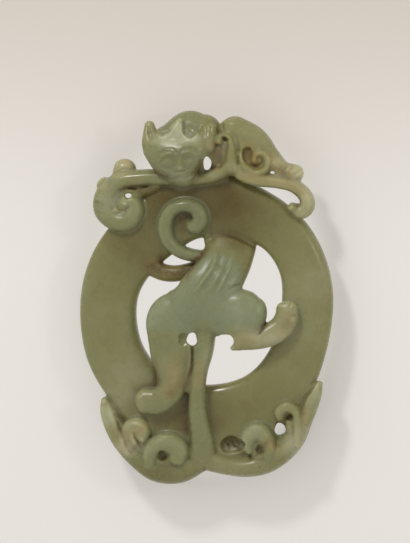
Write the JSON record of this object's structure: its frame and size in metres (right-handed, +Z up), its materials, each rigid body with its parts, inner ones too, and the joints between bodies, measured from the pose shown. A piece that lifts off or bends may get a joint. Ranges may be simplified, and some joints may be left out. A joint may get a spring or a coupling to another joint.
{
  "type": "carved jade openwork pendant",
  "caption": "Polished jade openwork carving of a dragon-like animal winding through an oval ring, with scrolled locks, paws and a forked tail.",
  "frame": {"origin": "middle of the outline, on the plane that the carving rests on", "axes": "the carving lies on its back: +Z is up out of the carved face, +Y runs from the tail to the head, +X to the right as the carved face is seen"},
  "size_m": [0.0474, 0.07, 0.014],
  "materials": {
    "jade": "polished"
  },
  "bodies": {
    "root": {"jade_carving": "jade"}
  },
  "joints": []
}
